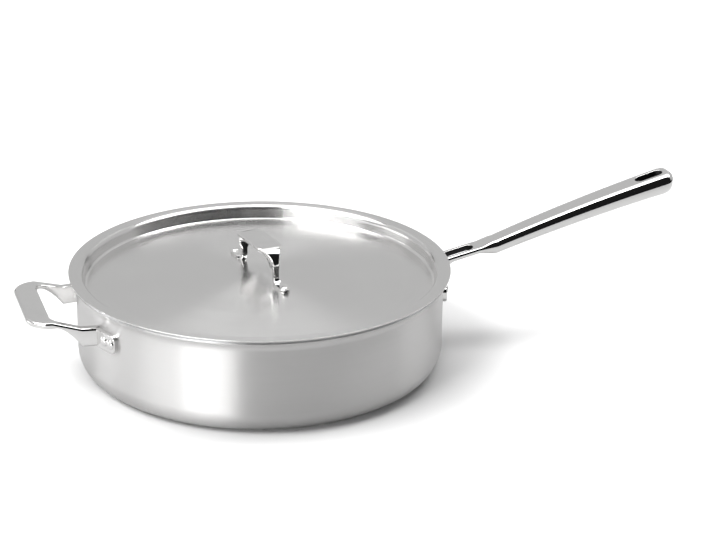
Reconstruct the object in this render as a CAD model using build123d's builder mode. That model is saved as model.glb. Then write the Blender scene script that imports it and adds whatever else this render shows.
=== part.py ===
from build123d import *
from math import asin, cos, radians, sin, sqrt, tan
import os

os.makedirs("parts", exist_ok=True)

# A straight-sided pan of bonded sheet with a flared rim, a long handle, a helper handle and a lid.
# Millimetres. The origin is the centre of the base's underside, +Z is up and +X runs along the
# long handle. Heights are above the base and reaches are from the pan's axis.

# Pan body
pan_radius = 152.0
rim_height = 83.0
outer_ply = 0.5
core_ply = 1.7
inner_ply = 0.4
base_curve = 20.0
flare_curve = 10.0
flare_angle = 58.0

# One overrun serves every cut, and one small gap serves every seat against the wall
overrun = 6.0
seat_gap = 0.05

# Rivets through the wall, all on one line below the rim
rivet_drop = 25.0
rivet_radius = 2.4
rivet_clearance = 0.05
rivet_head_radius = 4.0
rivet_head_rise = 2.3
rivet_inner_rise = 1.2

# Long handle: a slotted neck that swells into a rounded bar. Rises are above the rivets' line.
neck_length = 38.0
neck_width = 19.0
neck_depth = 5.0
neck_rise = 22.7
neck_slope = 12.5
swell_length = 16.0
swell_rise = 1.6
grip_length = 160.0
grip_width = 21.0
grip_depth = 12.0
grip_slope = 18.2
end_slope = 13.0
end_width = 29.0
end_depth = 18.0
end_corner = 10.0
end_roll = 6.5
corner_share = 0.44
slot_width = 10.0
neck_slot_offset = 9.0
neck_slot_length = 26.0
hang_slot_margin = 8.0
hang_slot_length = 24.0
root_length = 20.0
root_drop = 4.0

# Plate that carries the long handle on the wall. Margins are from its ends to its rivets.
plate_thickness = 4.0
plate_half_width = 41.0
plate_above = 13.0
plate_below = 11.0
plate_end_above = 4.0
plate_end_below = 7.0
plate_middle = 12.0
plate_corner = 4.0
plate_edge = 1.2
plate_rivet_margins = (21.8, 12.7)

# Helper handle: a flat bar on two arms that deepen towards the wall and end in feet
helper_length = 48.5
helper_bar = 19.0
helper_bar_depth = 5.0
helper_rise = 14.0
helper_corner = 19.0
helper_half_width = 45.5
arm_at_bar = 6.5
arm_at_wall = 8.4
arm_spread = 7.3
helper_inner_corner = 8.0
helper_foot_above = 7.5
helper_foot_below = 8.0
helper_foot_length = 20.2
helper_foot_corner = 4.0
helper_rivet_margins = (11.7, 4.0)
taper_inset = 3.5
taper_offset = 6.5
taper_end_slope = 54.0

# Lid: flat flange, steep recess wall, slightly domed panel
lid_overhang = 1.2
lid_play = 4.5
lid_sheet = 1.0
lid_gap = 0.3
recess_lean = 0.9
recess_depth = 11.9
dome_rise = 7.0
recess_bend = 2.4
flange_bend = 5.0

# Lid handle: a bent strap, turned a little from square to the long handle
lid_handle_turn = -79.7
lid_handle_rise = 23.7
strap = 3.0
strap_top_width = 21.5
strap_top_bend = 14.0
strap_bend = 4.0
stem_reach = 32.9
stem_depth = 4.6
stem_width = 5.0
waist_drop = 18.0
foot_length = 19.4
foot_width = 8.8
lid_rivet_radius = 1.9
lid_rivet_head_radius = 3.0
lid_rivet_head_rise = 1.5
lid_rivet_under_rise = 0.9

# Sizes of the wall and the rim that follow from the ones above
sheet = outer_ply + core_ply + inner_ply
flare_start = rim_height - (flare_curve + sheet) * sin(radians(flare_angle))
rim_radius = pan_radius + flare_curve * (1 - cos(radians(flare_angle)))
rivet_height = rim_height - rivet_drop
plate_outside = pan_radius + plate_thickness

# The long handle's
neck_reach = pan_radius + neck_length
neck_height = rivet_height + neck_rise
grip_reach = neck_reach + swell_length
grip_height = neck_height + swell_rise
handle_reach = grip_reach + grip_length
neck_slot_start = pan_radius + neck_slot_offset
hang_slot_end = handle_reach - hang_slot_margin
root_reach = plate_outside + root_length
root_foot = rivet_height - root_drop
plate_top = rivet_height + plate_above
plate_bottom = rivet_height - plate_below
plate_rivets = [plate_half_width - margin for margin in plate_rivet_margins]

# The helper handle's
helper_reach = pan_radius + helper_length
helper_top = rivet_height + helper_rise
helper_foot_top = rivet_height + helper_foot_above
helper_foot_bottom = rivet_height - helper_foot_below
arm_half_at_root = helper_half_width + arm_spread
helper_foot_end = arm_half_at_root + helper_foot_length
helper_rivets = [helper_foot_end - margin for margin in helper_rivet_margins]

# The lid's
lid_radius = rim_radius + lid_overhang
recess_radius = pan_radius - sheet - lid_play
recess_top_radius = recess_radius + recess_lean
flange_top = rim_height + lid_gap + lid_sheet
panel_edge_height = flange_top - recess_depth
dome_curve = (recess_radius**2 + dome_rise**2) / (2 * dome_rise)
lid_handle_top = flange_top + lid_handle_rise
shoulder_reach = stem_reach - strap_top_bend
stem_inside = stem_reach - stem_depth
strap_under = lid_handle_top - strap
foot_end = stem_reach + foot_length
lid_rivets = foot_end - foot_width / 2

# How many sections the long handle's loft has along each stretch
neck_steps = 2
swell_steps = 5
grip_steps = 5
cap_steps = 6


def save(part, name):
    part.label = name
    export_step(part, f"parts/{name}.step")


def outward_plane(side, offset):
    """The plane outside the wall where a rivet at this sideways offset stands, looking outwards."""
    turn = asin(offset / plate_outside)
    outward = Vector(side * cos(turn), sin(turn), 0)
    return Plane(origin=outward * (plate_outside + overrun) + Vector(0, 0, rivet_height), z_dir=outward)


plate_planes = [outward_plane(1, sign * offset) for offset in plate_rivets for sign in (1, -1)]
helper_planes = [outward_plane(-1, sign * offset) for offset in helper_rivets for sign in (1, -1)]
hole_depth = plate_thickness + sheet + 2 * overrun


def sheet_line(depth):
    """The pan's half outline at this depth below its outer face, from the axis out to the rim."""
    curve_x = pan_radius - base_curve
    base = Line((0, depth), (curve_x, depth))
    CenterArc((curve_x, base_curve), base_curve - depth, -90, 90)
    Line((pan_radius - depth, base_curve), (pan_radius - depth, flare_start))
    flare = CenterArc((pan_radius + flare_curve, flare_start), flare_curve + depth, 180, -flare_angle)
    return base @ 0, flare @ 1


def ply(depth, thickness):
    """One ply of the sheet, with its rim cut square to the sheet and its rivet holes."""
    with BuildPart() as layer:
        with BuildSketch(Plane.XZ):
            with BuildLine():
                outer_start, outer_end = sheet_line(depth)
                inner_start, inner_end = sheet_line(depth + thickness)
                Line(outer_start, inner_start)
                Line(outer_end, inner_end)
            make_face()
        revolve(axis=Axis.Z)
        with Locations(*plate_planes, *helper_planes):
            Hole(rivet_radius + rivet_clearance, depth=hole_depth)
    return layer.part


save(ply(0, outer_ply), "pan_outer_ply")
save(ply(outer_ply, core_ply), "pan_core_ply")
save(ply(outer_ply + core_ply, inner_ply), "pan_inner_ply")


def smooth(start, end, reach):
    """0 up to start, 1 from end on, and an even S-curve between them."""
    share = min(max((reach - start) / (end - start), 0), 1)
    return share * share * (3 - 2 * share)


def grip_centre(reach):
    """The long handle's centre height: a straight neck, then a bar that levels off a little."""
    if reach <= neck_reach:
        return neck_height + tan(radians(neck_slope)) * (reach - neck_reach)
    if reach <= grip_reach:
        return neck_height + (grip_height - neck_height) * (reach - neck_reach) / (grip_reach - neck_reach)
    run = reach - grip_reach
    start, end = tan(radians(grip_slope)), tan(radians(end_slope))
    return grip_height + start * run + (end - start) * run * run / (2 * grip_length)


def rolled(half, corner, reach):
    """A half width that rounds off over the last stretch of the handle, as long as its corner."""
    into = max(reach - (handle_reach - corner), 0)
    return half - corner + sqrt(max(corner * corner - into * into, 0))


def handle_section(reach):
    """Width, depth and corner of the long handle at this reach."""
    grown = smooth(neck_reach, grip_reach, reach)
    along = max(reach - grip_reach, 0) / grip_length
    width = neck_width + (grip_width - neck_width) * grown + (end_width - grip_width) * along
    depth = neck_depth + (grip_depth - neck_depth) * grown + (end_depth - grip_depth) * along
    width = 2 * rolled(width / 2, end_corner, reach)
    depth = 2 * rolled(depth / 2, end_roll, reach)
    return width, depth, corner_share * min(width, depth)


def stations(start, end, steps):
    """Evenly spaced reaches from start up to, but not at, the end."""
    return [start + (end - start) * step / steps for step in range(steps)]


neck_start = pan_radius + plate_thickness / 2
cap_start = handle_reach - end_corner
bar_run = stations(neck_start, neck_reach, neck_steps)
bar_run += stations(neck_reach, grip_reach, swell_steps)
bar_run += stations(grip_reach, cap_start, grip_steps)
bar_run += [cap_start + end_corner * sin(radians(90 * step / cap_steps)) for step in range(cap_steps + 1)]

with BuildPart() as long_handle:
    # The plate: a slice of ring cut to an outline that narrows towards both ends
    with BuildSketch(Plane.XY.offset(plate_bottom)):
        Circle(plate_outside)
        Circle(pan_radius + seat_gap, mode=Mode.SUBTRACT)
    extrude(amount=plate_top - plate_bottom)
    with BuildSketch(Plane.YZ) as outline:
        Polygon(
            (-plate_half_width, rivet_height - plate_end_below),
            (-plate_middle, plate_bottom),
            (plate_middle, plate_bottom),
            (plate_half_width, rivet_height - plate_end_below),
            (plate_half_width, rivet_height + plate_end_above),
            (plate_middle, plate_top),
            (-plate_middle, plate_top),
            (-plate_half_width, rivet_height + plate_end_above),
            align=None,
        )
        fillet(outline.vertices(), plate_corner)
    extrude(amount=plate_outside + overrun, mode=Mode.INTERSECT)
    face_edges = long_handle.edges().filter_by(
        lambda edge: abs((edge @ 0.5).X ** 2 + (edge @ 0.5).Y ** 2 - plate_outside**2) < seat_gap
    )
    fillet(face_edges, plate_edge)
    # The neck and the bar, one loft along the handle
    for reach in bar_run:
        width, depth, corner = handle_section(reach)
        with BuildSketch(Plane(origin=(reach, 0, grip_centre(reach)), x_dir=(0, 1, 0), z_dir=(1, 0, 0))):
            RectangleRounded(width, depth, corner)
    loft(ruled=True)
    # The root: a web under the neck with a hollow curve down to the plate
    with BuildSketch(Plane.XZ):
        with BuildLine():
            under = grip_centre(root_reach) - neck_depth / 2
            hollow = EllipticalCenterArc(
                (root_reach, root_foot),
                root_reach - plate_outside,
                under - root_foot,
                start_angle=90,
                arc_size=90,
            )
            Polyline(
                hollow @ 0,
                (root_reach, grip_centre(root_reach)),
                (neck_start, grip_centre(neck_start)),
                (neck_start, root_foot),
                hollow @ 1,
            )
        make_face()
    extrude(amount=neck_width / 2, both=True)
    with BuildSketch(Plane.XY.offset(plate_bottom)):
        with Locations((neck_slot_start + neck_slot_length / 2, 0)):
            SlotOverall(neck_slot_length, slot_width)
        with Locations((hang_slot_end - hang_slot_length / 2, 0)):
            SlotOverall(hang_slot_length, slot_width)
    extrude(amount=handle_reach, mode=Mode.SUBTRACT)
    with Locations(*plate_planes):
        Hole(rivet_radius + rivet_clearance, depth=hole_depth)
save(long_handle.part, "long_handle")


arm_root = sqrt(pan_radius**2 - helper_foot_end**2)
bar_inside = helper_reach - helper_bar
bar_under = helper_top - helper_bar_depth

# The helper's loop: its plan, then its side view, which deepens the arms towards the wall
with BuildPart() as helper_loop:
    with BuildSketch(Plane.XY.offset(helper_foot_bottom)):
        with BuildSketch() as outside:
            Polygon(
                (-helper_reach, -helper_half_width),
                (-helper_reach, helper_half_width),
                (-arm_root, arm_half_at_root),
                (-arm_root, -arm_half_at_root),
                align=None,
            )
            fillet(outside.vertices().group_by(Axis.X)[0], helper_corner)
        with BuildSketch(mode=Mode.SUBTRACT) as inside:
            Polygon(
                (-bar_inside, -helper_half_width + arm_at_bar),
                (-bar_inside, helper_half_width - arm_at_bar),
                (-arm_root, arm_half_at_root - arm_at_wall),
                (-arm_root, -arm_half_at_root + arm_at_wall),
                align=None,
            )
            fillet(inside.vertices().group_by(Axis.X)[0], helper_inner_corner)
        Circle(pan_radius + seat_gap, mode=Mode.SUBTRACT)
    extrude(amount=helper_top - helper_foot_bottom)
    with BuildSketch(Plane.XZ):
        with BuildLine():
            under = Spline(
                (-bar_inside + taper_inset, bar_under),
                (-pan_radius - taper_offset, helper_foot_bottom),
                tangents=((1, 0), (cos(radians(taper_end_slope)), -sin(radians(taper_end_slope)))),
            )
            Polyline(
                under @ 1,
                (-arm_root, helper_foot_bottom),
                (-arm_root, helper_foot_top),
                (-pan_radius - taper_offset, helper_foot_top),
                (-bar_inside, helper_top),
                (-helper_reach, helper_top),
                (-helper_reach, bar_under),
                under @ 0,
            )
        make_face()
    extrude(amount=arm_half_at_root, both=True, mode=Mode.INTERSECT)

with BuildPart() as helper_handle:
    with BuildSketch(Plane.XY.offset(helper_foot_bottom)):
        Circle(plate_outside)
        Circle(pan_radius + seat_gap, mode=Mode.SUBTRACT)
    extrude(amount=helper_foot_top - helper_foot_bottom)
    with BuildSketch(Plane.YZ):
        foot_start = arm_half_at_root - arm_at_wall
        foot_middle = (foot_start + helper_foot_end) / 2
        foot_height = (helper_foot_top + helper_foot_bottom) / 2
        with Locations((foot_middle, foot_height), (-foot_middle, foot_height)):
            RectangleRounded(
                helper_foot_end - foot_start, helper_foot_top - helper_foot_bottom, helper_foot_corner
            )
    extrude(amount=-plate_outside - overrun, mode=Mode.INTERSECT)
    add(helper_loop.part)
    with Locations(*helper_planes):
        Hole(rivet_radius + rivet_clearance, depth=hole_depth)
save(helper_handle.part, "helper_handle")


def panel_height(reach):
    """The height of the lid's domed panel at this distance from its centre."""
    return panel_edge_height + dome_rise - dome_curve + sqrt(dome_curve**2 - reach**2)


lid_handle_plan = Plane.XY.rotated((0, 0, lid_handle_turn))
lid_handle_side = Plane(origin=(0, 0, 0), x_dir=lid_handle_plan.x_dir, z_dir=-lid_handle_plan.y_dir)
lid_handle_front = Plane(origin=(0, 0, 0), x_dir=lid_handle_plan.y_dir, z_dir=lid_handle_plan.x_dir)
lid_rivet_places = [lid_handle_plan.from_local_coords((side * lid_rivets, 0, 0)) for side in (1, -1)]
foot_top = panel_height(foot_end) + strap

with BuildPart() as lid:
    with BuildSketch(Plane.XZ):
        with BuildLine() as surface:
            dome = ThreePointArc(
                (0, panel_height(0)),
                (recess_radius / 2, panel_height(recess_radius / 2)),
                (recess_radius, panel_edge_height),
            )
            Polyline(dome @ 1, (recess_top_radius, flange_top), (lid_radius, flange_top))
            fillet(surface.vertices().sort_by(Axis.X)[1], recess_bend)
            fillet(surface.vertices().sort_by(Axis.X)[-2], flange_bend)
            offset(amount=lid_sheet, side=Side.RIGHT)
        make_face()
        split(bisect_by=Plane.YZ, keep=Keep.TOP)
    revolve(axis=Axis.Z)
    with BuildSketch(Plane.XY.offset(panel_edge_height)):
        with Locations(*lid_rivet_places):
            Circle(lid_rivet_radius + rivet_clearance)
    extrude(amount=dome_rise + overrun, mode=Mode.SUBTRACT)
save(lid.part, "lid")


def strap_line(reach, low, high, foot_curve, top_curve):
    """One face of the strap in its side view, from the end of one foot over the top to the other."""
    return FilletPolyline(
        (-foot_end, low),
        (-reach, low),
        (-reach, high),
        (reach, high),
        (reach, low),
        (foot_end, low),
        radius=(foot_curve, top_curve, top_curve, foot_curve),
    )


with BuildPart() as lid_handle:
    with BuildSketch(lid_handle_side):
        with BuildLine():
            over = strap_line(stem_reach, foot_top, lid_handle_top, strap_bend, strap_top_bend)
            under = strap_line(
                stem_inside, foot_top - strap, strap_under, strap_bend + strap, strap_top_bend - stem_depth
            )
            Line(over @ 0, under @ 0)
            Line(over @ 1, under @ 1)
        make_face()
    extrude(amount=strap_top_width / 2, both=True)
    # The stems lean out from their waist to the edges of the top's underside
    with BuildSketch(lid_handle_front):
        with BuildLine():
            Polyline(
                (stem_width / 2, panel_edge_height),
                (stem_width / 2, lid_handle_top - waist_drop),
                (strap_top_width / 2, strap_under),
                (strap_top_width / 2, panel_edge_height),
                close=True,
            )
        make_face()
        mirror(about=Plane.YZ)
    extrude(amount=stem_reach, both=True, mode=Mode.SUBTRACT)
    with BuildSketch(lid_handle_plan.offset(panel_edge_height)):
        with BuildLine() as edge:
            for side in (1, -1):
                Polyline(
                    (0, side * strap_top_width / 2),
                    (shoulder_reach, side * strap_top_width / 2),
                    (stem_reach, side * stem_width / 2),
                    (stem_reach + strap_bend, side * foot_width / 2),
                    (lid_rivets, side * foot_width / 2),
                )
            ThreePointArc(
                (lid_rivets, foot_width / 2),
                (foot_end, 0),
                (lid_rivets, -foot_width / 2),
            )
            mirror(about=Plane.YZ)
        make_face()
    extrude(amount=lid_handle_top, mode=Mode.INTERSECT)
    add(lid.part, mode=Mode.SUBTRACT)
    with BuildSketch(Plane.XY.offset(panel_edge_height)):
        with Locations(*lid_rivet_places):
            Circle(lid_rivet_radius + rivet_clearance)
    extrude(amount=dome_rise + overrun, mode=Mode.SUBTRACT)
save(lid_handle.part, "lid_handle")


def dome_arc(seat, rim, rise):
    """Half the outline of a domed head: its rim on the seat, its top on the axis."""
    cap = (rim**2 + rise**2) / (2 * abs(rise))
    side = rise / abs(rise)
    half = asin(rim / cap) / 2
    centre = seat + rise - side * cap
    return ThreePointArc((seat, rim), (centre + side * cap * cos(half), cap * sin(half)), (seat + rise, 0))


def rivet(along, seats, rises, shank, head):
    """A rivet along the plane's X direction: a plain shank between two domed heads on their seats."""
    low_seat, high_seat = seats
    low_rise, high_rise = rises
    with BuildPart() as piece:
        with BuildSketch(along):
            with BuildLine():
                low = dome_arc(low_seat, head, -low_rise)
                high = dome_arc(high_seat, head, high_rise)
                Polyline(low @ 0, (low_seat, shank), (high_seat, shank), high @ 0)
                Line(low @ 1, high @ 1)
            make_face()
        revolve(axis=Axis(along.origin, along.x_dir))
    return piece.part


inner_seat = sqrt((pan_radius - sheet) ** 2 - rivet_head_radius**2)
wall_rivets = {"long_handle_rivet": plate_planes, "helper_rivet": helper_planes}
for name, planes in wall_rivets.items():
    for number, outside in enumerate(planes, 1):
        along = Plane(
            origin=(0, 0, rivet_height),
            x_dir=outside.z_dir,
            z_dir=outside.z_dir.cross(Vector(0, 0, 1)),
        )
        seats = (inner_seat, plate_outside)
        rises = (rivet_inner_rise, rivet_head_rise)
        save(rivet(along, seats, rises, rivet_radius, rivet_head_radius), f"{name}_{number}")

for number, place in enumerate(lid_rivet_places, 1):
    along = Plane(origin=place, x_dir=(0, 0, 1), z_dir=(0, 1, 0))
    seats = (panel_height(lid_rivets + lid_rivet_head_radius) - lid_sheet, foot_top)
    rises = (lid_rivet_under_rise, lid_rivet_head_rise)
    save(rivet(along, seats, rises, lid_rivet_radius, lid_rivet_head_radius), f"lid_rivet_{number}")
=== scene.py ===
import math

import bpy
import numpy as np
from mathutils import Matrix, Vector


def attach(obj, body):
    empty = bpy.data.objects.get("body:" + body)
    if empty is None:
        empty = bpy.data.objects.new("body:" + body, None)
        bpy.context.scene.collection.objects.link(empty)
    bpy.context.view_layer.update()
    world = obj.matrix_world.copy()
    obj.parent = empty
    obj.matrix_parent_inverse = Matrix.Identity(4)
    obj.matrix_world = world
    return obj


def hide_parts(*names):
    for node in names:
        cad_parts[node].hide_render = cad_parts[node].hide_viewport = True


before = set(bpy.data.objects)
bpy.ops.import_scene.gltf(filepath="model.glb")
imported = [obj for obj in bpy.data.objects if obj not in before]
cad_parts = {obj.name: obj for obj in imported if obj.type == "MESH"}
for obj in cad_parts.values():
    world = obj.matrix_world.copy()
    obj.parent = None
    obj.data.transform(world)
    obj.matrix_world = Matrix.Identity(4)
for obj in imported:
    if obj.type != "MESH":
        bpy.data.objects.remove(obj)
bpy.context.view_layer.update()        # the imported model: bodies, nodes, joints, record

print("saute pan: frame loaded")

mm = 0.001
tau = 2 * math.pi
scene = bpy.context.scene
scene.view_settings.view_transform = "Standard"


# camera: the photograph's viewing angle
cameraSettings = {
    "place": (-418.1, -1603.5, 735.3),   # mm
    "tilt": 68.43, "turn": -15.5,        # degrees
    "lens": 108.09, "sensor": 36, "shift": 0.0941,
    "near": 0.05, "far": 60,             # m
}


def addCamera(s):
    data = bpy.data.cameras.new("viewer")
    data.sensor_width, data.lens, data.shift_x = s["sensor"], s["lens"], s["shift"]
    data.clip_start, data.clip_end = s["near"], s["far"]
    camera = bpy.data.objects.new("viewer", data)
    camera.location = [v * mm for v in s["place"]]
    camera.rotation_euler = (math.radians(s["tilt"]), 0, math.radians(s["turn"]))
    scene.collection.objects.link(camera)
    scene.camera = camera


addCamera(cameraSettings)
toViewer = np.array([-0.2672, -0.9636, 0.0])   # flat direction from the pan to the camera
toRight = np.array([0.9636, -0.2672, 0.0])


# meshes from whole arrays
micron = 1e-6
offRound = 0.37   # a shift in microns that keeps round sizes off the limits between two keys
around = 300      # steps round the axis of the pan and the lid


# Points in the same micron become one. A quad with one doubled corner becomes a triangle.
def weld(points, faces):
    keys = np.floor(points / micron + offRound).astype(np.int64)
    _, first, where = np.unique(keys, axis=0, return_index=True, return_inverse=True)
    faces = where.reshape(-1)[faces]
    doubled = faces == np.roll(faces, -1, axis=1)
    crossed = (faces[:, 0] == faces[:, 2]) | (faces[:, 1] == faces[:, 3])
    count = doubled.sum(1)
    quads = faces[(count == 0) & ~crossed]
    slim = (count == 1) & ~crossed
    tris = faces[slim][~doubled[slim]].reshape(-1, 3)
    return points[first], quads, tris


# Turns every face round if the closed shell's volume, summed as tetrahedra from the origin, is negative.
def outward(points, quads, tris):
    flat = np.concatenate([quads[:, [0, 1, 2]], quads[:, [0, 2, 3]], tris])
    a, b, c = points[flat[:, 0]], points[flat[:, 1]], points[flat[:, 2]]
    if np.einsum("ij,ij->", a, np.cross(b, c)) < 0:
        return quads[:, ::-1], tris[:, ::-1]
    return quads, tris


# One object from closed shells of (points, quads, tris), each with its faces turned outwards.
def addPiece(name, shells, sharp=40):
    allPoints, sizes, corners, base = [], [], [], 0
    for points, quads, tris in shells:
        quads, tris = outward(points, quads, tris)
        allPoints.append(points)
        corners += [(quads + base).ravel(), (tris + base).ravel()]
        sizes += [np.full(len(quads), 4), np.full(len(tris), 3)]
        base += len(points)
    co = np.concatenate(allPoints)
    size, corner = np.concatenate(sizes), np.concatenate(corners)
    mesh = bpy.data.meshes.new(name)
    mesh.vertices.add(len(co))
    mesh.vertices.foreach_set("co", co.astype(np.float32).ravel())
    mesh.loops.add(len(corner))
    mesh.loops.foreach_set("vertex_index", corner.astype(np.int32))
    mesh.polygons.add(len(size))
    mesh.polygons.foreach_set("loop_start", np.concatenate([[0], np.cumsum(size)[:-1]]).astype(np.int32))
    mesh.polygons.foreach_set("use_smooth", np.ones(len(size), bool))
    mesh.update(calc_edges=True)
    mesh.validate()
    mesh.set_sharp_from_angle(angle=math.radians(sharp))
    piece = bpy.data.objects.new(name, mesh)
    scene.collection.objects.link(piece)
    return piece


# Quads of a rows by columns grid, joined round where a direction wraps.
def gridFaces(rows, columns, wrapRows=False, wrapColumns=False):
    r = np.arange(rows if wrapRows else rows - 1)[:, None]
    c = np.arange(columns if wrapColumns else columns - 1)[None, :]
    r2, c2 = (r + 1) % rows, (c + 1) % columns
    corners = [r * columns + c, r * columns + c2, r2 * columns + c2, r2 * columns + c]
    return np.stack([x.ravel() for x in np.broadcast_arrays(*corners)], 1)


# A path through corners, each rounded: the arc touches both runs at radius / tan(half the inner angle). It
# gets a point about every step degrees.
def arcs(corners, radii, step):
    corners, out = np.asarray(corners, float), [np.asarray(corners[0], float)]
    for before, at, after, radius in zip(corners[:-2], corners[1:-1], corners[2:], radii):
        u = (before - at) / np.linalg.norm(before - at)
        v = (after - at) / np.linalg.norm(after - at)
        half = math.acos(np.clip(u @ v, -1, 1)) / 2
        middle = at + (u + v) / np.linalg.norm(u + v) * radius / math.sin(half)
        start, end = at + u * radius / math.tan(half), at + v * radius / math.tan(half)
        sweep = math.pi - 2 * half
        t = np.linspace(0, 1, max(3, int(math.degrees(sweep) / step)))[:, None]
        a, b = start - middle, end - middle
        out.append(middle + (np.sin((1 - t) * sweep) * a + np.sin(t * sweep) * b) / math.sin(sweep))
    out.append(corners[-1])
    return np.vstack(out)


# A profile of (reach, height) turned about an axis: centre + axis * height + reach * (cos t, sin t).
def lathe(profile, segments, centre=(0, 0, 0), axis=(0, 0, 1), closed=True):
    axis = np.asarray(axis, float) / np.linalg.norm(axis)
    isUpright = abs(axis[2]) >= 0.9
    side = np.cross(axis, (0, 1, 0) if isUpright else (0, 0, 1))
    side /= np.linalg.norm(side)
    other = np.cross(axis, side)
    t = np.arange(segments) * tau / segments
    ring = np.cos(t)[:, None] * side + np.sin(t)[:, None] * other
    reach, height = profile[None, :, 0:1], profile[None, :, 1:2]
    points = np.asarray(centre, float) + height * axis + reach * ring[:, None, :]
    return weld(points.reshape(-1, 3), gridFaces(segments, len(profile), True, closed))


# Loops of a rounded rectangle, one a row: each corner's centre plus corner * (cos a, sin a).
def roundRect(width, height, corner, steps=5):
    rows = [np.atleast_1d(np.asarray(v, float)) for v in (width, height, corner)]
    width, height, corner = np.broadcast_arrays(*rows)
    quarter = np.arange(4)[:, None]
    a = ((quarter + np.linspace(0, 1, steps + 1)) * math.pi / 2).ravel()
    sx = np.repeat([1, -1, -1, 1], steps + 1)
    sy = np.repeat([1, 1, -1, -1], steps + 1)
    x = sx * (width / 2 - corner)[:, None] + corner[:, None] * np.cos(a)
    y = sy * (height / 2 - corner)[:, None] + corner[:, None] * np.sin(a)
    return np.stack([x, y], 2)


# Closes a tube of rows of points by a middle point at each end.
def capped(rows):
    first, last = [np.broadcast_to(row.mean(1, keepdims=True), row.shape) for row in (rows[:1], rows[-1:])]
    rows = np.concatenate([first, rows, last])
    n, m = rows.shape[:2]
    return weld(rows.reshape(-1, 3), gridFaces(n, m, False, True))


# 0 before the start, 1 past the end, and an even rise between.
def smooth(start, end, x):
    t = np.clip((x - start) / (end - start), 0, 1)
    return t * t * (3 - 2 * t)


# Gives a piece its material and its body, and hides the CAD nodes that it stands for.
def dress(piece, body, slot, material, *nodes):
    piece.data.materials.append(material)
    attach(piece, body)
    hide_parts(*nodes)


# shader sums as plain Python
# A Wire is one socket. Sums, products and powers of it add Math nodes.
class Wire:
    def __init__(self, tree, socket):
        self.tree, self.socket = tree, socket

    def do(self, operation, *values):
        node = self.tree.nodes.new("ShaderNodeMath")
        node.operation = operation
        for slot, value in zip(node.inputs, values):
            feed(self.tree, slot, value)
        return Wire(self.tree, node.outputs[0])

    def __add__(self, other):
        return self.do("ADD", self, other)

    def __radd__(self, other):
        return self.do("ADD", other, self)

    def __sub__(self, other):
        return self.do("SUBTRACT", self, other)

    def __rsub__(self, other):
        return self.do("SUBTRACT", other, self)

    def __mul__(self, other):
        return self.do("MULTIPLY", self, other)

    def __rmul__(self, other):
        return self.do("MULTIPLY", other, self)

    def __truediv__(self, other):
        return self.do("DIVIDE", self, other)

    def __pow__(self, other):
        return self.do("POWER", self, other)

    def atLeast(self, low):
        return self.do("MAXIMUM", self, low)

    def clamped(self):
        return self.do("MINIMUM", self.atLeast(0.0), 1.0)

    def unsigned(self):
        return self.do("ABSOLUTE", self)


def feed(tree, slot, value):
    if isinstance(value, Wire):
        tree.links.new(value.socket, slot)
    else:
        slot.default_value = value


# One material's tree. node() makes any node from its type, its settings and its sockets' values.
class Finish:
    def __init__(self, name):
        self.material = bpy.data.materials.new(name)
        self.material.use_nodes = True
        self.tree = self.material.node_tree
        self.tree.nodes.clear()

    def node(self, kind, settings=None, values=None, out=0):
        made = self.tree.nodes.new("ShaderNode" + kind)
        for key, value in (settings or {}).items():
            setattr(made, key, value)
        for key, value in (values or {}).items():
            feed(self.tree, made.inputs[key], value)
        return Wire(self.tree, made.outputs[out])

    def place(self):
        spot = self.node("TexCoord", out="Object")
        split = self.tree.nodes.new("ShaderNodeSeparateXYZ")
        feed(self.tree, split.inputs[0], spot)
        return [Wire(self.tree, split.outputs[i]) for i in range(3)]

    def vector(self, x, y, z):
        return self.node("CombineXYZ", None, {0: x, 1: y, 2: z})

    def noise(self, vector, detail=2.0, rough=0.5):
        values = {"Vector": vector, "Scale": 1.0, "Detail": detail, "Roughness": rough}
        return self.node("TexNoise", {"noise_dimensions": "3D"}, values, "Fac")

    # A mix of two colours, each a Wire or three numbers.
    def tint(self, low, high, mask):
        made = self.tree.nodes.new("ShaderNodeMix")
        made.data_type = "RGBA"
        feed(self.tree, made.inputs["Factor"], mask)
        for slot, colour in zip([s for s in made.inputs if s.type == "RGBA"], (low, high)):
            feed(self.tree, slot, colour if isinstance(colour, Wire) else (*colour, 1))
        return Wire(self.tree, [s for s in made.outputs if s.type == "RGBA"][0])

    def surface(self, kind, values):
        last = self.tree.nodes.new("ShaderNodeOutputMaterial")
        feed(self.tree, last.inputs["Surface"], self.node(kind, None, values))
        return self.material

    def metal(self, colour, roughness, bump, bumpDepth, fixed=None):
        normal = self.node("Bump", None, {"Height": bump, "Strength": 1.0, "Distance": bumpDepth}, "Normal")
        values = {"Base Color": colour, "Metallic": 1.0, "Roughness": roughness, "Normal": normal}
        return self.surface("BsdfPrincipled", {**values, **(fixed or {})})


# finishes: lines, smudges and clouds are counted per metre, depths are in metres
sheetFinish = {
    "dark": (0.70, 0.695, 0.69), "light": (0.79, 0.785, 0.78),
    "rough": 0.39, "roughChange": 0.08, "stretch": 0.92, "turn": 0.25,
    "lines": 2600, "linesInBand": 9, "along": 16, "alongBands": 0.6, "skew": 0.7, "clouds": 22,
    "lineShare": 0.6, "grainShare": 0.6, "lineDepth": 0.0000012,
}


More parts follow.
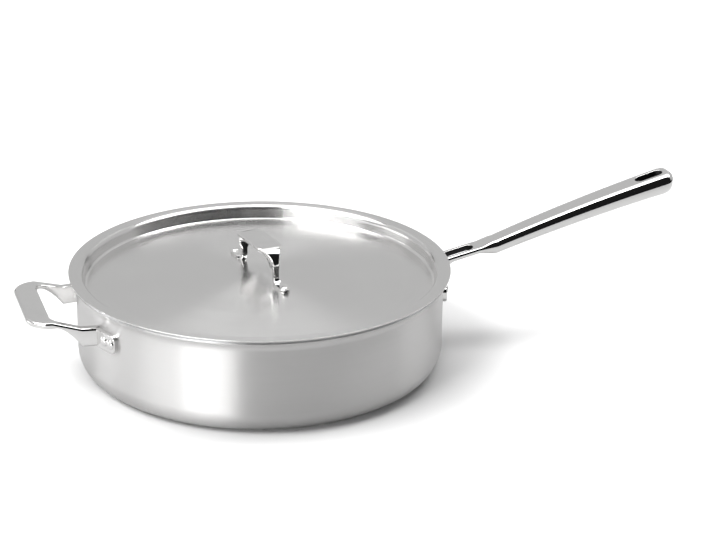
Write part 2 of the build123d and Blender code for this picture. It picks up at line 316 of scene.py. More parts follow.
# Rings of fine lines: noise over (reach, height) at the lines' scale and slowly over x and y. Where a recess
# is given as (start, end, more), the sheet is that much rougher between the two reaches.
def brushedSheet(name, s):
    f = Finish(name)
    x, y, z = f.place()
    reach = (x * x + y * y) ** 0.5
    slow = (x + s["skew"] * y) * s["along"]
    lines = f.noise(f.vector(reach * s["lines"], z * s["lines"], slow), detail=3.0, rough=0.65)
    wide = s["lines"] / s["linesInBand"]
    bands = f.noise(f.vector(reach * wide, z * wide, slow * s["alongBands"]))
    cloud = f.noise(f.vector(x * s["clouds"], y * s["clouds"], z * s["clouds"]), detail=3.0)
    grain = (lines * s["lineShare"] + bands * (1 - s["lineShare"])).clamped()
    shade = (grain * s["grainShare"] + cloud * (1 - s["grainShare"])).clamped()
    colour = f.tint(s["dark"], s["light"], shade)
    rough = s["rough"] + (grain - 0.5) * s["roughChange"] + (cloud - 0.5) * (s["roughChange"] / 2)
    if "recess" in s:
        start, end, more = s["recess"]
        inside = ((reach - start * mm) / mm).clamped() * ((end * mm - reach) / mm).clamped()
        rough = rough + inside * more
    fixed = {"Anisotropic": s["stretch"], "Anisotropic Rotation": s["turn"]}
    return f.metal(colour, rough, grain, s["lineDepth"], fixed)


polishFinish = {
    "dark": (0.74, 0.735, 0.73), "light": (0.83, 0.825, 0.82),
    "rough": 0.07, "roughChange": 0.08, "smudges": 45, "hairs": 900, "hairStretch": 0.08,
    "smudgeShare": 0.7, "clean": 0.45, "hairDepth": 0.0000004,
}
slotsAndPaintedShade = {
    "slots": ((161.0, 187.0), (334.0, 358.0)), "slotHalf": 5.0, "slotMargin": 0.3, "slotFade": 0.2,   # mm
    # near-black painted shade inside the slots, and the roughness there
    "paintedSlotShade": (0.035, 0.035, 0.036), "dullRough": 0.45,
}


# Polished steel: smudges make it a little rougher, and hairlines run along the piece at random. What lies
# within a slot's half width of its middle line is painted near black as shade, and is rougher.
def polished(name, s):
    f = Finish(name)
    x, y, z = f.place()
    smudge = f.noise(f.vector(x * s["smudges"], y * s["smudges"], z * s["smudges"]), detail=4.0, rough=0.6)
    hair = f.noise(f.vector(x * s["hairs"] * s["hairStretch"], y * s["hairs"], z * s["hairs"]))
    mask = (smudge * s["smudgeShare"] + hair * (1 - s["smudgeShare"])).clamped()
    colour = f.tint(s["dark"], s["light"], mask)
    rough = s["rough"] + ((mask - s["clean"]) * s["roughChange"]).atLeast(0.0)
    for start, end in s.get("slots", ()):
        half = s["slotHalf"] * mm
        straight = (end - start) / 2 * mm - half
        past = ((x - (start + end) / 2 * mm).unsigned() - straight).atLeast(0.0)
        left = half + s["slotMargin"] * mm - (past * past + y * y) ** 0.5
        inside = (left * (1 / (s["slotFade"] * mm))).clamped()
        # painted shade: within the slot the colour goes near black
        colour = f.tint(colour, s["paintedSlotShade"], inside)
        rough = rough + inside * (s["dullRough"] - s["rough"])
    return f.metal(colour, rough, hair, s["hairDepth"])


outsideSteel = brushedSheet("brushed_outside", sheetFinish)
insideSteel = brushedSheet("brushed_inside", {**sheetFinish, "rough": 0.40, "lines": 2200})
coreMetal = brushedSheet("rolled_core", {
    **sheetFinish, "dark": (0.72, 0.72, 0.73), "light": (0.80, 0.80, 0.81), "rough": 0.36,
})
lidSteel = brushedSheet("satin_lid", {
    **sheetFinish, "rough": 0.20, "recess": (138.0, 150.5, 0.04), "lines": 3200, "lineDepth": 0.0000008,
})
gripSteel = polished("polished_grip", {**polishFinish, **slotsAndPaintedShade})
loopSteel = polished("polished_loop", {**polishFinish, "smudges": 60})
strapSteel = polished("polished_strap", {**polishFinish, "smudges": 80, "rough": 0.06})
rivetSteel = polished("polished_rivets", {**polishFinish, "smudges": 150, "rough": 0.09})
print("saute pan: finishes ready")


# pan: three bonded plies turned about the axis
panShape = {
    "radius": 152.0, "height": 83.0, "plies": (0.5, 1.7, 0.4),
    "base": 20.0, "flare": 10.0, "flareAngle": 58.0, "edge": 0.12, "edgeShare": 1 / 3,
    "steps": {"base": 34, "corner": 26, "wall": 14, "flare": 18, "edge": 4},
}


# Half outline at a depth in the sheet: flat base, quarter turn, straight wall, then the flare's arc.
def plyLine(s, depth):
    sheet, steps = sum(s["plies"]), s["steps"]
    angle = math.radians(s["flareAngle"])
    low = s["height"] - (s["flare"] + sheet) * math.sin(angle)
    flat = np.linspace(0, s["radius"] - s["base"], steps["base"])
    t = np.linspace(-math.pi / 2, 0, steps["corner"])
    wall = np.linspace(s["base"], low, steps["wall"])[1:-1]
    u = math.pi - np.linspace(0, angle, steps["flare"])
    inner, hollow = s["base"] - depth, s["flare"] + depth
    parts = [
        np.stack([flat, np.full(flat.shape, depth)], 1),
        np.stack([s["radius"] - s["base"] + inner * np.cos(t), s["base"] + inner * np.sin(t)], 1)[1:],
        np.stack([np.full(wall.shape, s["radius"] - depth), wall], 1),
        np.stack([s["radius"] + s["flare"] + hollow * np.cos(u), low + hollow * np.sin(u)], 1),
    ]
    return np.concatenate(parts)


# The ply between two depths. Both corners of its cut edge are rounded by a quarter turn.
def plyShell(s, depth, thickness):
    outer, inner = plyLine(s, depth), plyLine(s, depth + thickness)
    across = inner[-1] - outer[-1]
    across /= np.linalg.norm(across)
    along = outer[-1] - outer[-2]
    along /= np.linalg.norm(along)
    e = min(s["edge"], thickness * s["edgeShare"])
    t = np.linspace(0, math.pi / 2, s["steps"]["edge"])[:, None]
    low = outer[-1] - along * e + across * e - across * e * np.cos(t) + along * e * np.sin(t)
    high = inner[-1] - along * e - across * e + across * e * np.cos(t) + along * e * np.sin(t)
    return lathe(np.concatenate([outer[:-1], low, high[::-1], inner[-2::-1]]) * mm, around)


plies = (
    ("pan_outer_ply", "pan_outside", outsideSteel),
    ("pan_core_ply", "core", coreMetal),
    ("pan_inner_ply", "pan_inside", insideSteel),
)
inward = 0.0
for (name, slot, steel), thickness in zip(plies, panShape["plies"]):
    dress(addPiece(name + "_skin", [plyShell(panShape, inward, thickness)]), "pan", slot, steel, name)
    inward += thickness
print("saute pan: pan body done")


# lid: flange, steep recess wall, domed panel
lidShape = {
    "radius": 157.9, "top": 84.3, "sheet": 1.0, "recessTop": 145.8, "recess": 144.9,
    "depth": 11.9, "dome": 7.0, "bend": 2.4, "turnOver": 5.0, "edge": 0.2,
    "domeSteps": 60, "domeStop": 4,    # points on the dome, and how many bends short of the recess it stops
    "bendStep": 5, "edgeStep": 15,     # degrees
}
domeCurve = (lidShape["recess"] ** 2 + lidShape["dome"] ** 2) / (2 * lidShape["dome"])


# The dome: a ball's cap over the recess, dome high at the middle.
def panelHeight(reach):
    s = lidShape
    ball = np.sqrt(domeCurve**2 - np.asarray(reach, float) ** 2)
    return s["top"] - s["depth"] + s["dome"] - domeCurve + ball


# The lid's line a distance under its top face: every run is moved square to itself.
def lidProfile(s, drop):
    reach = np.linspace(0, s["recess"] - s["domeStop"] * s["bend"], s["domeSteps"])
    dome = np.stack([reach, panelHeight(reach)], 1)
    knee = np.array([s["recess"], s["top"] - s["depth"]])
    brow = np.array([s["recessTop"], s["top"]])
    end = np.array([s["radius"], s["top"]])
    bends = arcs([dome[-1], knee, brow, end], (s["bend"], s["turnOver"]), s["bendStep"])
    line = np.concatenate([dome[:-1], bends])
    run = np.gradient(line, axis=0)
    run /= np.linalg.norm(run, axis=1, keepdims=True)
    return line - drop * np.stack([-run[:, 1], run[:, 0]], 1)


# The top line out to the rim, the rounded edge, and the under line back to the axis.
def lidShell(s):
    top, under = lidProfile(s, 0), lidProfile(s, s["sheet"])
    top[0, 0] = under[0, 0] = 0
    near, low = s["radius"] - s["sheet"], s["top"] - s["sheet"]
    corners = [(near, s["top"]), (s["radius"], s["top"]), (s["radius"], low), (near, low)]
    edge = arcs(corners, [s["edge"]] * 2, s["edgeStep"])
    return lathe(np.concatenate([top[:-1], edge, under[-2::-1]]) * mm, around)


dress(addPiece("lid_sheet", [lidShell(lidShape)]), "lid", "lid_sheet", lidSteel, "lid")
print("saute pan: lid done")


# lid handle: a strap bent over the panel
strapShape = {
    "turn": -79.7, "top": 108.0, "strap": 3.0, "topWidth": 21.5, "topBend": 14.0, "bend": 4.0,
    "shoulder": 18.9, "stem": 32.9, "stemDepth": 4.6, "stemWidth": 5.0, "waist": 90.0,
    "footWidth": 8.8, "footEnd": 52.3, "rivets": 47.9, "edge": 0.9, "edgeShare": 0.45,
    "least": 0.02, "bendStep": 4, "steps": 120, "endSteps": 10,   # mm, degrees, counts
}
uncut = 99.0       # wider than any strap: no cut in the front view
overTop = 0.01     # mm above the top's underside, where that cut ends
shortOfEnd = 1e-4  # mm left before a foot's very end


# Whole width at a reach and height: the plan narrows from the shoulder to the stem and widens over the
# foot, and under the shoulder the stem leans out from its waist to the edges of the top's underside.
def strapWidth(s, reach, z):
    low, half = s["top"] - s["strap"], s["footWidth"] / 2
    knots = [s["shoulder"], s["stem"], s["stem"] + s["bend"]]
    plan = np.interp(reach, knots, [s["topWidth"], s["stemWidth"], s["footWidth"]])
    front = np.interp(z, [s["waist"], low, low + overTop], [s["stemWidth"], s["topWidth"], uncut])
    into = np.clip(reach - (s["footEnd"] - half), 0, half - shortOfEnd)
    rounded = np.sqrt(1 - (into / half) ** 2)
    return np.where(reach < s["stem"], np.minimum(plan, front), plan) * rounded


# A rounded bar carried along the strap's outer side line and drawn out to its width at each point.
def strapShell(s):
    footTop = float(panelHeight(s["footEnd"])) + s["strap"]
    foot, bent = s["stem"] + s["bend"], [s["bend"], s["topBend"], s["topBend"], s["bend"]]
    right = [(s["stem"], s["top"]), (s["stem"], footTop), (s["footEnd"], footTop)]
    line = arcs([(-u, z) for u, z in right[::-1]] + right, bent, s["bendStep"])
    gaps = np.linalg.norm(np.diff(line, axis=0), axis=1)
    run = np.concatenate([[0], np.cumsum(gaps)])
    ends = (1 - np.cos(np.linspace(0, math.pi / 2, s["endSteps"]))) * s["footWidth"] / 2
    at = np.unique(np.concatenate([run, np.linspace(0, run[-1], s["steps"]), ends, run[-1] - ends]).round(5))
    u, z = np.interp(at, run, line[:, 0]), np.interp(at, run, line[:, 1])
    slope = np.stack([np.gradient(u, at), np.gradient(z, at)], 1)
    slope /= np.linalg.norm(slope, axis=1, keepdims=True)
    reach = np.abs(u)
    deeper = smooth(s["stem"] - s["topBend"], s["stem"], reach) * (1 - smooth(s["stem"], foot, reach))
    thick = s["strap"] + (s["stemDepth"] - s["strap"]) * deeper
    width = np.maximum(strapWidth(s, reach, z), s["least"])
    loops = roundRect(width, thick, np.minimum(s["edge"], width * s["edgeShare"]))
    down = loops[..., 1] - thick[:, None] / 2   # 0 on the outer face, minus the thickness inside
    pointU = u[:, None] - down * slope[:, 1:2]
    pointZ = z[:, None] + down * slope[:, 0:1]
    drawn = np.maximum(strapWidth(s, np.abs(pointU), pointZ), s["least"]) / width[:, None]
    over = np.where(reach[:, None] < foot, drawn, 1.0) * loops[..., 0]
    a = math.radians(s["turn"])
    along, across = np.array([math.cos(a), math.sin(a), 0]), np.array([-math.sin(a), math.cos(a), 0])
    rows = pointU[..., None] * along + over[..., None] * across + pointZ[..., None] * np.array([0, 0, 1.0])
    return capped(rows * mm)


dress(addPiece("lid_handle_strap", [strapShell(strapShape)]), "lid", "lid_strap", strapSteel, "lid_handle")
print("saute pan: lid handle done")


# rivets: a plain shank between two domed heads
wallRivet = {
    "height": 58.0, "shank": 2.4, "head": 4.0, "rise": 2.3, "innerRise": 1.2,
    "outside": 156.0, "inside": 149.4, "plate": (19.2, 28.3), "helper": (61.3, 69.0),
}
lidRivet = {"shank": 1.9, "head": 3.0, "rise": 1.5, "underRise": 0.9}
headShape = {"steps": 9, "flatter": 0.8, "around": 48, "sharp": 50}


# (reach, height): a dome under, the shank, a dome over. A dome is an ellipse's quarter, a little fuller.
def rivetProfile(low, high, shank, head, lowRise, highRise):
    t = np.linspace(0, math.pi / 2, headShape["steps"])
    reach, rise = head * np.sin(t), np.cos(t) ** headShape["flatter"]
    under = np.stack([reach, low - lowRise * rise], 1)
    over = np.stack([reach, high + highRise * rise], 1)[::-1]
    return np.concatenate([under, [[shank, low], [shank, high]], over])


# Name, body, centre, axis and profile of each rivet, on the same line as its hole.
def rivetPlaces():
    s = wallRivet
    inside = math.sqrt(s["inside"] ** 2 - s["head"] ** 2)
    profile = rivetProfile(inside, s["outside"], s["shank"], s["head"], s["innerRise"], s["rise"])
    for name, side, offsets in (("long_handle_rivet", 1, s["plate"]), ("helper_rivet", -1, s["helper"])):
        number = 0
        for offset in offsets:
            for sign in (1, -1):
                number += 1
                turn = math.asin(sign * offset / s["outside"])
                axis = (side * math.cos(turn), math.sin(turn), 0)
                yield f"{name}_{number}", "pan", (0, 0, s["height"]), axis, profile
    s, strapTop = lidRivet, float(panelHeight(strapShape["footEnd"])) + strapShape["strap"]
    under = float(panelHeight(strapShape["rivets"] + s["head"])) - lidShape["sheet"]
    profile = rivetProfile(under, strapTop, s["shank"], s["head"], s["underRise"], s["rise"])
    a = math.radians(strapShape["turn"])
    for number, side in enumerate((1, -1), 1):
        reach = side * strapShape["rivets"]
        centre = (reach * math.cos(a), reach * math.sin(a), 0)
        yield f"lid_rivet_{number}", "lid", centre, (0, 0, 1), profile


for name, body, centre, axis, profile in rivetPlaces():
    shell = lathe(profile * mm, headShape["around"], np.array(centre) * mm, axis, closed=False)
    dress(addPiece(name + "_heads", [shell], headShape["sharp"]), body, "rivets", rivetSteel, name)
print("saute pan: rivets done")


# curved plates riveted to the wall
plateSteps = {"corner": 9, "around": 180, "edge": 6, "face": 16}   # the first in degrees, the rest counts


# A plate bent round the wall. Its outline of (sideways, height) shrinks to its middle, ring by ring:
# first up the edge, then over the rounding, then flat, and each point is laid on its own cylinder.
def wallPlate(side, corners, radius, inner, outer, edge):
    loop = np.asarray(corners, float)
    closedLoop = np.concatenate([[(loop[-1] + loop[0]) / 2], loop, [(loop[-1] + loop[0]) / 2]])
    line = arcs(closedLoop, [radius] * len(loop), plateSteps["corner"])[:-1]
    gaps = np.linalg.norm(np.diff(np.concatenate([line, line[:1]]), axis=0), axis=1)
    run = np.concatenate([[0], np.cumsum(gaps)])
    at = np.linspace(0, run[-1], plateSteps["around"] + 1)[:-1]
    line = np.stack([np.interp(at, run, np.append(line[:, k], line[0, k])) for k in (0, 1)], 1)
    middle = line.mean(0)
    ahead = np.roll(line, -1, 0) - np.roll(line, 1, 0)
    normal = np.stack([ahead[:, 1], -ahead[:, 0]], 1) / np.linalg.norm(ahead, axis=1, keepdims=True)
    if ((line - middle) * normal).sum() < 0:
        normal = -normal
    t = np.linspace(0, math.pi / 2, plateSteps["edge"])
    inset = np.concatenate([[0, 0], edge * (1 - np.cos(t))[1:]])
    level = np.concatenate([[inner, outer - edge], (outer - edge + edge * np.sin(t))[1:]])
    face = line - normal * edge
    shares = np.linspace(1, 0, plateSteps["face"])[1:]
    rows = [line - normal * d for d in inset] + [middle + (face - middle) * k for k in shares]
    levels = list(level) + [outer] * len(shares)
    backRows = [middle + (line - middle) * k for k in shares[::-1]]
    rows, levels = backRows + rows, [inner] * len(shares) + levels
    flat, level = np.stack(rows), np.array(levels)[:, None]
    turn = np.arcsin(flat[..., 0] / outer)
    points = np.stack([side * level * np.cos(turn), level * np.sin(turn), flat[..., 1]], 2)
    return weld(points.reshape(-1, 3) * mm, gridFaces(len(rows), len(line), False, True))


# long handle: plate, root, slotted neck and rounded bar
gripShape = {
    "neckReach": 190.0, "neckWidth": 19.0, "neckDepth": 5.0, "neckHeight": 80.7, "neckSlope": 12.5,
    "gripReach": 206.0, "gripWidth": 21.0, "gripDepth": 12.0, "gripHeight": 82.3, "gripSlope": 18.2,
    "endSlope": 13.0, "endWidth": 29.0, "endDepth": 18.0, "reach": 366.0, "endCorner": 10.0, "endRoll": 6.5,
    "cornerShare": 0.44, "slots": slotsAndPaintedShade["slots"], "slotHalf": slotsAndPaintedShade["slotHalf"], "slotEdge": 0.6,
    "root": 176.0, "rootFoot": 54.0, "start": 154.0, "outside": 156.0, "slotClear": 0.2,
    "steps": {"runs": (30, 30, 40, 110), "end": 26, "slot": 14, "slotEdge": 5, "across": 7, "corner": 10},
}
gripPlate = {
    "corners": ((-41, 51), (-12, 47), (12, 47), (41, 51), (41, 62), (12, 71), (-12, 71), (-41, 62)),
    "radius": 4.0, "inner": 152.05, "outer": 156.0, "edge": 1.2,
}


# Centre height: a straight neck, then a bar whose slope falls evenly from gripSlope to endSlope.
def gripCentre(s, x):
    past, rise = x - s["neckReach"], s["gripHeight"] - s["neckHeight"]
    neck = s["neckHeight"] + math.tan(math.radians(s["neckSlope"])) * past
    step = s["neckHeight"] + rise * past / (s["gripReach"] - s["neckReach"])
    first, last = math.tan(math.radians(s["gripSlope"])), math.tan(math.radians(s["endSlope"]))
    run = x - s["gripReach"]
    bar = s["gripHeight"] + first * run + (last - first) * run**2 / (2 * (s["reach"] - s["gripReach"]))
    return np.where(x <= s["neckReach"], neck, np.where(x <= s["gripReach"], step, bar))


# Half width, half depth and corner at each reach, rolled off over the last stretch.
def gripSize(s, x):
    grown = smooth(s["neckReach"], s["gripReach"], x)
    along = np.clip(x - s["gripReach"], 0, None) / (s["reach"] - s["gripReach"])

    def size(way):
        neck, grip, end = s["neck" + way], s["grip" + way], s["end" + way]
        return neck + (grip - neck) * grown + (end - grip) * along

    def rolled(half, corner):
        into = np.clip(x - (s["reach"] - corner), 0, corner)
        return half - corner + np.sqrt(corner**2 - into**2)

    halfWidth, halfDepth = rolled(size("Width") / 2, s["endCorner"]), rolled(size("Depth") / 2, s["endRoll"])
    return halfWidth, halfDepth, s["cornerShare"] * 2 * np.minimum(halfWidth, halfDepth)


# One side of the handle as rows along it. A row runs from the slot's edge, or the middle line, over the
# top, round the outside and back under. At a slot its first and last points follow the slot's rounded edge.
def gripHalf(s, sign):
    steps, h = s["steps"], s["slotHalf"]
    ends = [s["start"], s["root"], s["neckReach"], s["gripReach"], s["reach"] - s["endCorner"]]
    x = [np.linspace(a, b, n) for a, b, n in zip(ends[:-1], ends[1:], steps["runs"])]
    x.append(s["reach"] - s["endCorner"] * (1 - np.sin(np.linspace(0, math.pi / 2, steps["end"]))))
    for start, end in s["slots"]:
        t = (1 - np.cos(np.linspace(0, math.pi / 2, steps["slot"]))) * h
        x += [start + t, end - t]
    x = np.unique(np.concatenate(x).round(4))
    clear = s["slotEdge"] + s["slotClear"]
    for start, end in s["slots"]:
        x = x[~((x > start - clear) & (x < start) | (x > end) & (x < end + clear))]
    # the slot's plan: a half circle at each end, straight between; its outward direction in the plan
    edgeX, edgeY = x.copy(), np.zeros_like(x)
    outX, outY = np.zeros_like(x), np.ones_like(x)
    inSlot = np.zeros(len(x), bool)
    for start, end in s["slots"]:
        here = (x >= start) & (x <= end)
        inSlot |= here
        centre = np.clip(x, start + h, end - h)
        gap = np.clip((x - centre) / h, -1, 1)
        edgeY = np.where(here, h * np.sqrt(1 - gap**2), edgeY)
        outX, outY = np.where(here, gap, outX), np.where(here, np.sqrt(1 - gap**2), outY)
    e, slotted = s["slotEdge"], np.where(inSlot, 1, 0)[:, None]
    t = np.linspace(0, math.pi / 2, steps["slotEdge"])
    lead, fall = e * (1 - np.cos(t)), e * (1 - np.sin(t))   # away from the slot's wall, and below the face
    nearX = edgeX[:, None] + slotted * outX[:, None] * lead
    nearY = edgeY[:, None] + slotted * outY[:, None] * lead
    halfWidth, halfDepth, corner = gripSize(s, x)
    flatEnd = halfWidth - corner
    across = np.linspace(0, 1, steps["across"])[1:]
    rowX = np.concatenate([nearX, nearX[:, -1:] + (x[:, None] - nearX[:, -1:]) * across], 1)
    rowY = np.concatenate([nearY, nearY[:, -1:] + (flatEnd[:, None] - nearY[:, -1:]) * across], 1)
    drop = np.concatenate([slotted * fall, np.zeros((len(x), len(across)))], 1)
    middle, rowDepth = gripCentre(s, rowX), gripSize(s, rowX)[1]
    topZ, lowZ = middle + rowDepth - drop, middle - rowDepth + drop
    # the root: under the neck the lower face falls along a hollow quarter ellipse to the plate
    share = np.clip((s["root"] - rowX) / (s["root"] - s["outside"]), 0, 1)
    under = float(gripCentre(s, np.array([s["root"]]))[0]) - s["neckDepth"] / 2
    hollow = under - (under - s["rootFoot"]) * (1 - np.sqrt(1 - share**2))
    lowZ = np.where(rowX < s["root"], np.minimum(hollow + drop, lowZ), lowZ)
    # the outside: a corner's arc over the side, the side, and an arc under it
    a = np.linspace(0, math.pi / 2, steps["corner"])[1:-1]
    x, corner, halfDepth, sideY = x[:, None], corner[:, None], halfDepth[:, None], halfWidth[:, None]
    bendY = flatEnd[:, None] + corner * np.sin(a)
    z, wallLow = gripCentre(s, x), lowZ[:, -1:]
    bendTop = z + halfDepth - corner * (1 - np.cos(a))
    bendLow = wallLow + corner * (1 - np.cos(a))
    sideTop, sideLow = z + halfDepth - corner, wallLow + corner
    flatX = np.broadcast_to(x, bendY.shape)
    allX = np.concatenate([rowX, flatX, x, x, flatX, rowX[:, ::-1]], 1)
    allY = np.concatenate([rowY, bendY, sideY, sideY, bendY[:, ::-1], rowY[:, ::-1]], 1)
    allZ = np.concatenate([topZ, bendTop, sideTop, sideLow, bendLow[:, ::-1], lowZ[:, ::-1]], 1)
    points = np.stack([allX, sign * allY, allZ], 2)
    n, m = points.shape[:2]
    faces = gridFaces(n, m).reshape(n - 1, m - 1, 4)
    # the slot's rounding and its wall are there only between two rows in the same slot
    skip, rounding = ~(inSlot[:-1] & inSlot[1:]), steps["slotEdge"] - 1
    keep = np.ones((n - 1, m - 1), bool)
    keep[skip, :rounding] = keep[skip, -rounding:] = False
    walls = np.arange(n - 1)[~skip]
    wall = np.stack([walls * m + m - 1, walls * m, (walls + 1) * m, (walls + 1) * m + m - 1], 1)
    faces = np.concatenate([faces[keep], wall])
    if sign < 0:
        faces = faces[:, ::-1]
    return points.reshape(-1, 3), faces, points[0], points[-1]


# Both sides, and flat caps at the two ends, where each half row is joined to the middle line.
def gripShell(s):
    points, faces, base, ends = [], [], 0, []
    for sign in (1, -1):
        p, f, *rows = gripHalf(s, sign)
        points.append(p)
        faces.append(f + base)
        base += len(p)
        ends += [(row, (sign > 0) == (k == 0)) for k, row in enumerate(rows)]
    for row, turned in ends:
        cap = gridFaces(2, len(row)) + base
        points += [row, row * (1, 0, 1)]
        faces.append(cap[:, ::-1] if turned else cap)
        base += 2 * len(row)
    return weld(np.concatenate(points) * mm, np.concatenate(faces))


shells = [gripShell(gripShape), wallPlate(1, **gripPlate)]
dress(addPiece("long_handle_forged", shells), "pan", "long_handle", gripSteel, "long_handle")
print("saute pan: long handle done")


# helper handle: a flat bar on two arms that deepen towards the wall
loopShape = {
    "reach": 200.5, "bar": 19.0, "barDepth": 5.0, "top": 72.0, "corner": 19.0, "half": 45.5,
    "armAtBar": 6.5, "armAtWall": 8.4, "spread": 7.3, "innerCorner": 8.0, "root": 152.0, "wall": 152.3,
    "footTop": 65.5, "footBottom": 50.0, "footEnd": 73.0, "footCorner": 4.0, "seat": 152.05, "plate": 156.0,
    "taperStart": 178.0, "taperEnd": 158.5, "taperPower": 1.6, "edge": 2.1, "footEdge": 1.1,
    "steps": {"runs": (60, 34, 50, 34, 60), "edge": 6, "across": 6}, "cornerStep": 3,
}


# An arm, the bar and the other arm in the plan, as straight runs and corner arcs by turns, cut apart before
# and after each of the three longest gaps between two points.
def loopLine(s, root, reach, half, rootHalf, corner):
    corners = [(-root, -rootHalf), (-reach, -half), (-reach, half), (-root, rootHalf)]
    path = arcs(corners, [corner] * 2, s["cornerStep"])
    gaps = np.linalg.norm(np.diff(path, axis=0), axis=1)
    pieces, start = [], 0
    for k in sorted(np.argsort(-gaps)[:3]):
        pieces += [path[start:k + 1], path[k:k + 2]]
        start = k + 1
    pieces = [piece for piece in pieces + [path[start:]] if len(piece) > 1]
    out = []
    for piece, count in zip(pieces, s["steps"]["runs"]):
        run = np.concatenate([[0], np.cumsum(np.linalg.norm(np.diff(piece, axis=0), axis=1))])
        at = np.linspace(0, run[-1], count)[:-1]
        out.append(np.stack([np.interp(at, run, piece[:, k]) for k in (0, 1)], 1))
    return np.concatenate(out + [path[-1:]])


# A band between an outer and an inner plan line, thick between two height curves, with rounded edges.
def loopShell(s):
    root = math.sqrt(s["root"] ** 2 - s["footEnd"] ** 2)
    inside, wide = s["reach"] - s["bar"], s["half"] + s["spread"]
    outer = loopLine(s, root, s["reach"], s["half"], wide, s["corner"])
    inner = loopLine(s, root, inside, s["half"] - s["armAtBar"], wide - s["armAtWall"], s["innerCorner"])
    # the arms stop just outside the wall: a point nearer than that is moved out to it along its arm
    for path in (outer, inner):
        near = np.hypot(path[:, 0], path[:, 1]) < s["wall"]
        path[near, 0] = -np.sqrt(s["wall"] ** 2 - path[near, 1] ** 2)
    gap = inner - outer
    width = np.linalg.norm(gap, axis=1, keepdims=True)
    toInner = (gap / width)[:, None]
    e, steps = s["edge"], s["steps"]
    t = np.linspace(0, math.pi / 2, steps["edge"])
    inset, fall = e * (1 - np.cos(t)), e * (1 - np.sin(t))
    start = np.broadcast_to(inset, (len(outer), len(inset)))
    between = np.linspace(0, 1, steps["across"])[1:-1]
    w = np.concatenate([start, inset[-1] + (width - 2 * e) * between, width - inset[::-1]], 1)
    drop = np.concatenate([fall, np.zeros(len(between)), fall[::-1]])
    flat = outer[:, None] + toInner * w[..., None]
    reach, bottom = -flat[..., 0], s["top"] - s["barDepth"]
    near = np.clip((s["taperStart"] - reach) / (s["taperStart"] - s["taperEnd"]), 0, 1)
    top = np.interp(reach, [s["taperEnd"], inside], [s["footTop"], s["top"]]) - drop
    low = bottom - (bottom - s["footBottom"]) * near ** s["taperPower"] + drop
    over, under = [np.concatenate([flat, z[..., None]], 2) for z in (top, low)]
    return capped(np.concatenate([over, under[:, ::-1]], 1) * mm)


def footShell(s, sign):
    near, far = sign * (s["half"] + s["spread"] - s["armAtWall"]), sign * s["footEnd"]
    low, top = s["footBottom"], s["footTop"]
    corners = [(near, low), (far, low), (far, top), (near, top)]
    return wallPlate(-1, corners, s["footCorner"], s["seat"], s["plate"], s["footEdge"])


shells = [loopShell(loopShape), footShell(loopShape, 1), footShell(loopShape, -1)]
dress(addPiece("helper_handle_forged", shells), "pan", "helper_handle", loopSteel, "helper_handle")
print("saute pan: helper handle done")


# floor: the white sheet that the camera sees, and under it the grey table that the metal mirrors
floorSettings = {
    "white": {"half": 30.0, "level": 0.0, "light": 0.94, "dark": 0.92, "rough": 0.7, "mirrored": False},
    "table": {"half": 0.9, "level": -0.0005, "light": 0.68, "dark": 0.66, "rough": 0.3, "mirrored": True},
}
cloudsOnFloor = 3   # per metre


def addFloor(name, s):
    corner, level = s["half"], s["level"]
    points = [(x * corner, y * corner, level) for x, y in ((-1, -1), (1, -1), (1, 1), (-1, 1))]
    mesh = bpy.data.meshes.new(name)
    mesh.from_pydata(points, [], [(0, 1, 2, 3)])
    floor = bpy.data.objects.new(name, mesh)
    scene.collection.objects.link(floor)
    f = Finish(name + "_paint")
    x, y, z = f.place()
    cloud = f.noise(f.vector(x * cloudsOnFloor, y * cloudsOnFloor, z))
    colour = f.tint([s["dark"]] * 3, [s["light"]] * 3, cloud)
    if s["mirrored"]:
        mesh.materials.append(f.surface("BsdfPrincipled", {"Base Color": colour, "Roughness": s["rough"]}))
    else:
        mesh.materials.append(f.surface("BsdfDiffuse", {"Color": colour, "Roughness": s["rough"]}))
    floor.visible_camera = floor.visible_diffuse = not s["mirrored"]
    floor.visible_glossy, floor.visible_shadow = s["mirrored"], False


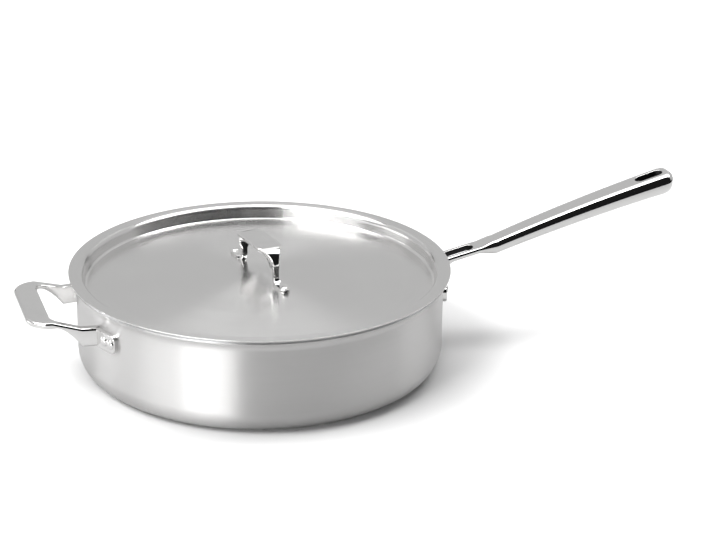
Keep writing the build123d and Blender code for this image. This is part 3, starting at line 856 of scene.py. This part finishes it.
# lights: azimuth runs from the camera's side, positive to the right; elevation is above the floor; wide and
# tall are the angles that the panel fills as seen from the pan; glow is its brightness, where the lit sheet
# is about 1. A panel narrows with the cosine of its elevation, or to its own share near the zenith.
softboxes = {
    "key": {"azimuth": -29, "elevation": 7, "wide": 31, "tall": 12, "glow": 4.6},
    "keyEdge": {"azimuth": -60, "elevation": 6, "wide": 32, "tall": 9, "glow": 2.4},
    "leftLow": {"azimuth": -95, "elevation": 6, "wide": 36, "tall": 9, "glow": 2.4},
    "highLeft": {"azimuth": -55, "elevation": 51, "wide": 60, "tall": 24, "glow": 6.0},
    "overhead": {"azimuth": 180, "elevation": 80, "wide": 90, "tall": 26, "glow": 4.0, "share": 0.9},
    "backHigh": {"azimuth": 180, "elevation": 58, "wide": 60, "tall": 14, "glow": 1.1},
    "backMiddle": {"azimuth": 180, "elevation": 26, "wide": 60, "tall": 52, "glow": 0.46},
    "backLeft": {"azimuth": -120, "elevation": 26, "wide": 60, "tall": 52, "glow": 0.46},
    "backRight": {"azimuth": 120, "elevation": 26, "wide": 60, "tall": 52, "glow": 0.46},
}
studio = {"distance": 3.5, "powerPerArea": 4, "worldGlow": 0.012}   # m, watts a square metre at glow 1


def addSoftbox(name, s):
    a, e = math.radians(s["azimuth"]), math.radians(s["elevation"])
    way = (toRight * math.sin(a) + toViewer * math.cos(a)) * math.cos(e) + np.array([0, 0, math.sin(e)])
    width, height = [2 * studio["distance"] * math.tan(math.radians(s[k] / 2)) for k in ("wide", "tall")]
    width *= s.get("share", math.cos(e))
    data = bpy.data.lights.new(name, "AREA")
    data.shape, data.size, data.size_y = "RECTANGLE", width, height
    data.energy = studio["powerPerArea"] * width * height * s["glow"]
    lamp = bpy.data.objects.new(name, data)
    lamp.location = way * studio["distance"]
    lamp.rotation_euler = Vector(way).to_track_quat("Z", "Y").to_euler()
    lamp.visible_camera = False
    scene.collection.objects.link(lamp)


def addWorld(glow):
    world = bpy.data.worlds.new("studio")
    world.use_nodes = True
    world.node_tree.nodes["Background"].inputs["Color"].default_value = (glow, glow, glow, 1)
    scene.world = world


for name, settings in floorSettings.items():
    addFloor(name, settings)
for name, settings in softboxes.items():
    addSoftbox(name, settings)
addWorld(studio["worldGlow"])
print("saute pan: floor and lights done")
